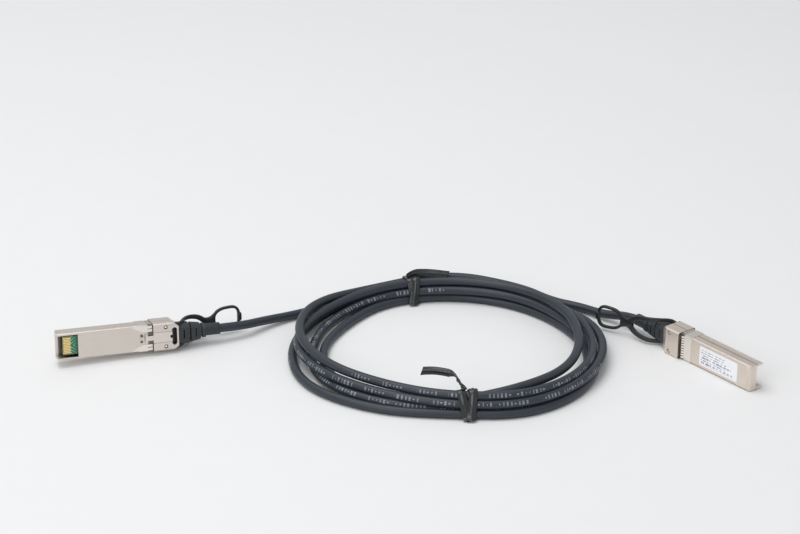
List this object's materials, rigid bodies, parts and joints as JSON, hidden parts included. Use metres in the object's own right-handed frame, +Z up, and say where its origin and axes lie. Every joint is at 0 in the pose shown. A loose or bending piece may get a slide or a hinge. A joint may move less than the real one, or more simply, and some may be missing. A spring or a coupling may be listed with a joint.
{
  "type": "pluggable transceiver cable assembly",
  "caption": "Two small pluggable metal transceiver modules with spring collars, sliding latches and pull tabs, joined by a black copper cable in a tied coil.",
  "frame": {"origin": "on the table, under the middle of the box of everything but the cable and its ties", "axes": "+X from the left module towards the right one, +Y away from the viewer, +Z up from the table"},
  "size_m": [0.3428, 0.1443, 0.0173],
  "materials": {
    "housing": "satin nickel plate on die-cast zinc",
    "spring_sheet": "bright spring sheet",
    "latch_metal": "satin nickel plate",
    "tab_plastic": "moulded, satin",
    "card_green": "solder mask",
    "contact_gold": "gold plate",
    "chip_black": "moulded package",
    "lead_foil": "foil shield",
    "ferrule_metal": "tinned",
    "boot_rubber": "moulded, satin",
    "rivet_steel": "bright",
    "label_white": "plain white sticker",
    "cable_jacket": "satin jacket",
    "tie_plastic": "flat plastic-covered wire"
  },
  "bodies": {
    "cable_assembly": {"left_top_shell": "housing", "left_bottom_shell": "housing", "left_emi_collar": "spring_sheet", "left_paddle_card": "card_green", "left_gold_contacts": "contact_gold", "left_card_components": "chip_black", "left_twinax_leads": "lead_foil", "left_crimp_ferrule": "ferrule_metal", "left_strain_relief": "boot_rubber", "left_shell_rivets": "rivet_steel", "right_top_shell": "housing", "right_bottom_shell": "housing", "right_emi_collar": "spring_sheet", "right_paddle_card": "card_green", "right_gold_contacts": "contact_gold", "right_card_components": "chip_black", "right_twinax_leads": "lead_foil", "right_crimp_ferrule": "ferrule_metal", "right_strain_relief": "boot_rubber", "right_shell_rivets": "rivet_steel", "right_label": "label_white", "cord_coil": "cable_jacket", "cord_tail_left": "cable_jacket", "cord_tail_right": "cable_jacket", "rear_tie": "tie_plastic", "front_tie": "tie_plastic"},
    "left_latch": {"left_latch_slider": "latch_metal", "left_pull_tab": "tab_plastic"},
    "right_latch": {"right_latch_slider": "latch_metal", "right_pull_tab": "tab_plastic"}
  },
  "joints": [
    {"name": "left_latch_slide", "type": "slide", "parent": "cable_assembly", "child": "left_latch", "axis": [0.9403, 0.3385, -0.0349], "range_m": [0, 0.0015], "stiffness_N_per_m": 600},
    {"name": "right_latch_slide", "type": "slide", "parent": "cable_assembly", "child": "right_latch", "axis": [-0.6293, 0.7771, 0], "range_m": [0, 0.0015], "stiffness_N_per_m": 600}
  ]
}
